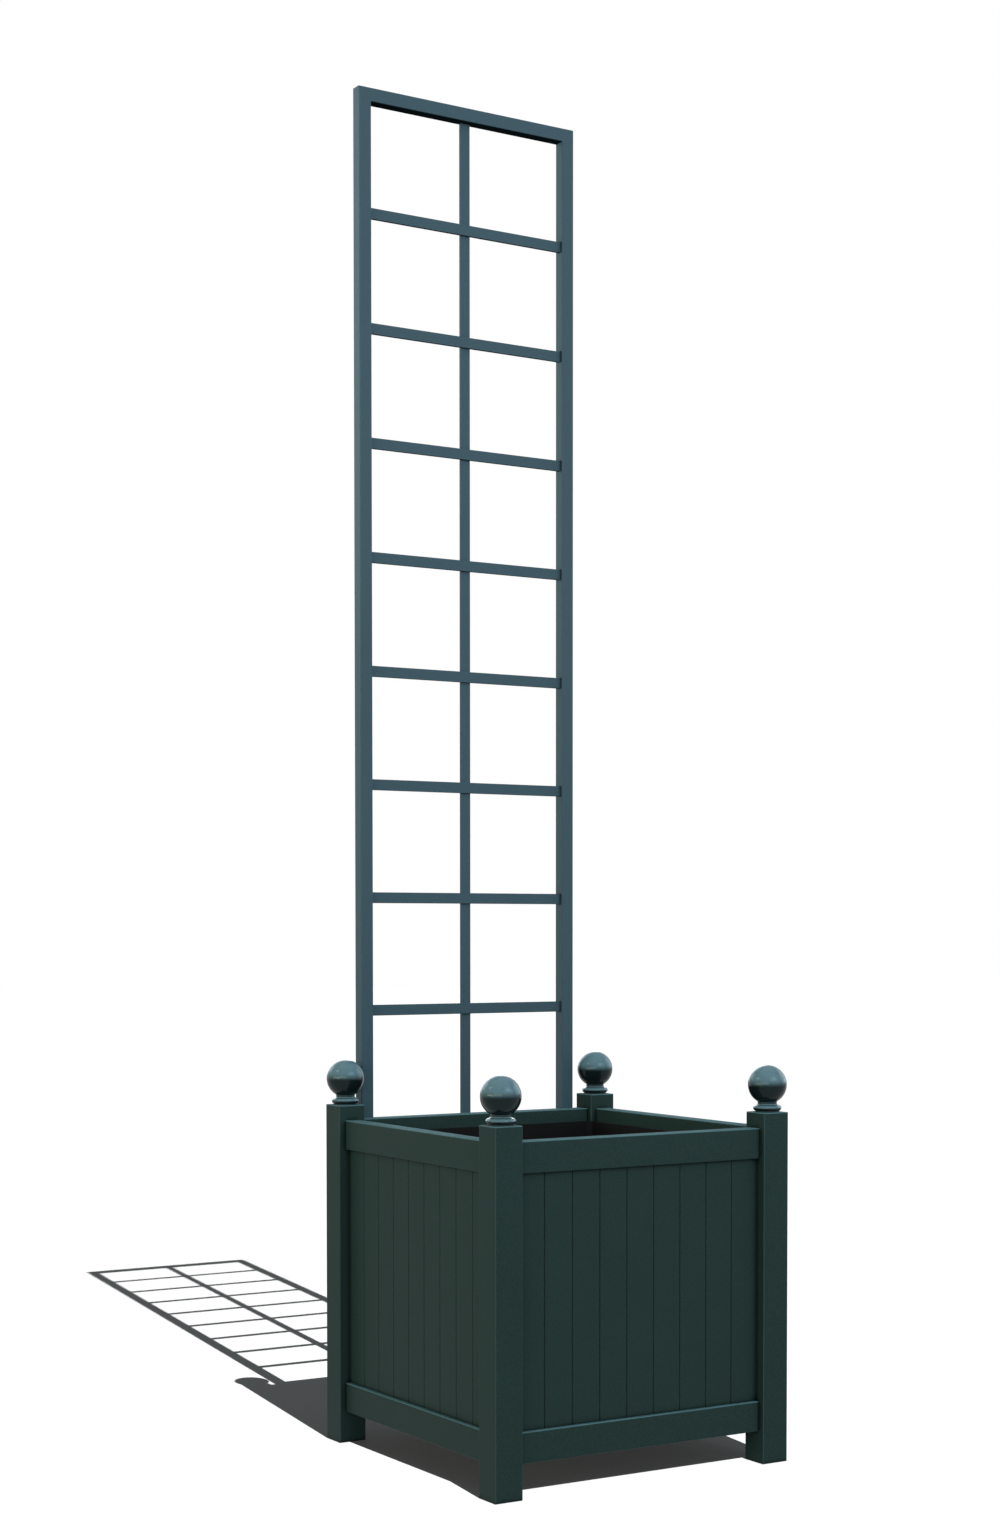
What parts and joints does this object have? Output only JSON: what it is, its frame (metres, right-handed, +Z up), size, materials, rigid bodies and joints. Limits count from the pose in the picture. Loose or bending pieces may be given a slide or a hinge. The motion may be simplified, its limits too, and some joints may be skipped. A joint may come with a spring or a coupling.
{
  "type": "versailles planter",
  "caption": "Square panelled timber planter with corner posts, ball finials, a lift-out liner and a tall metal trellis at its back.",
  "frame": {"origin": "on the floor, in the middle of the footprint of the box and the trellis together", "axes": "+Z up, +X to the right and -Y to the front; the trellis stands at the back, on +Y"},
  "size_m": [0.6156, 0.6238, 2.4665],
  "materials": {
    "painted_timber": "satin blue-green paint on planed timber",
    "gloss_timber": "gloss blue-green paint on turned timber",
    "coated_tube": "satin powder coat on steel tube and flat bar",
    "liner_plastic": "moulded, matt black",
    "cap_plastic": "moulded, black",
    "bare_timber": "treated, planed",
    "dowel_timber": "turned beech",
    "zinc_screw": "zinc plated"
  },
  "bodies": {
    "planter": {"post_front_left": "painted_timber", "post_front_right": "painted_timber", "post_back_left": "painted_timber", "post_back_right": "painted_timber", "top_rail_front": "painted_timber", "top_rail_right": "painted_timber", "top_rail_back": "painted_timber", "top_rail_left": "painted_timber", "bottom_rail_front": "painted_timber", "bottom_rail_right": "painted_timber", "bottom_rail_back": "painted_timber", "bottom_rail_left": "painted_timber", "boards_front": "painted_timber", "boards_right": "painted_timber", "boards_back": "painted_timber", "boards_left": "painted_timber", "rail_dowels": "dowel_timber", "finial_front_left": "gloss_timber", "finial_front_right": "gloss_timber", "finial_back_left": "gloss_timber", "finial_back_right": "gloss_timber", "finial_dowels": "dowel_timber", "batten_front": "bare_timber", "batten_back": "bare_timber", "floor_slat_1": "bare_timber", "floor_slat_2": "bare_timber", "floor_slat_3": "bare_timber", "floor_slat_4": "bare_timber", "floor_slat_5": "bare_timber", "batten_screws": "zinc_screw", "slat_screws": "zinc_screw", "trellis_stile_left": "coated_tube", "trellis_stile_right": "coated_tube", "trellis_top_tube": "coated_tube", "trellis_lath_1": "coated_tube", "trellis_lath_2": "coated_tube", "trellis_lath_3": "coated_tube", "trellis_lath_4": "coated_tube", "trellis_lath_5": "coated_tube", "trellis_lath_6": "coated_tube", "trellis_lath_7": "coated_tube", "trellis_lath_8": "coated_tube", "trellis_lath_9": "coated_tube", "trellis_lath_10": "coated_tube", "trellis_lath_11": "coated_tube", "trellis_centre_lath": "coated_tube", "trellis_cap_left": "cap_plastic", "trellis_cap_right": "cap_plastic", "trellis_screws": "zinc_screw"},
    "liner": {"liner": "liner_plastic"}
  },
  "joints": [
    {"name": "liner_lift", "type": "slide", "parent": "planter", "child": "liner", "axis": [0, 0, 1], "range_m": [0, 0.6]}
  ]
}
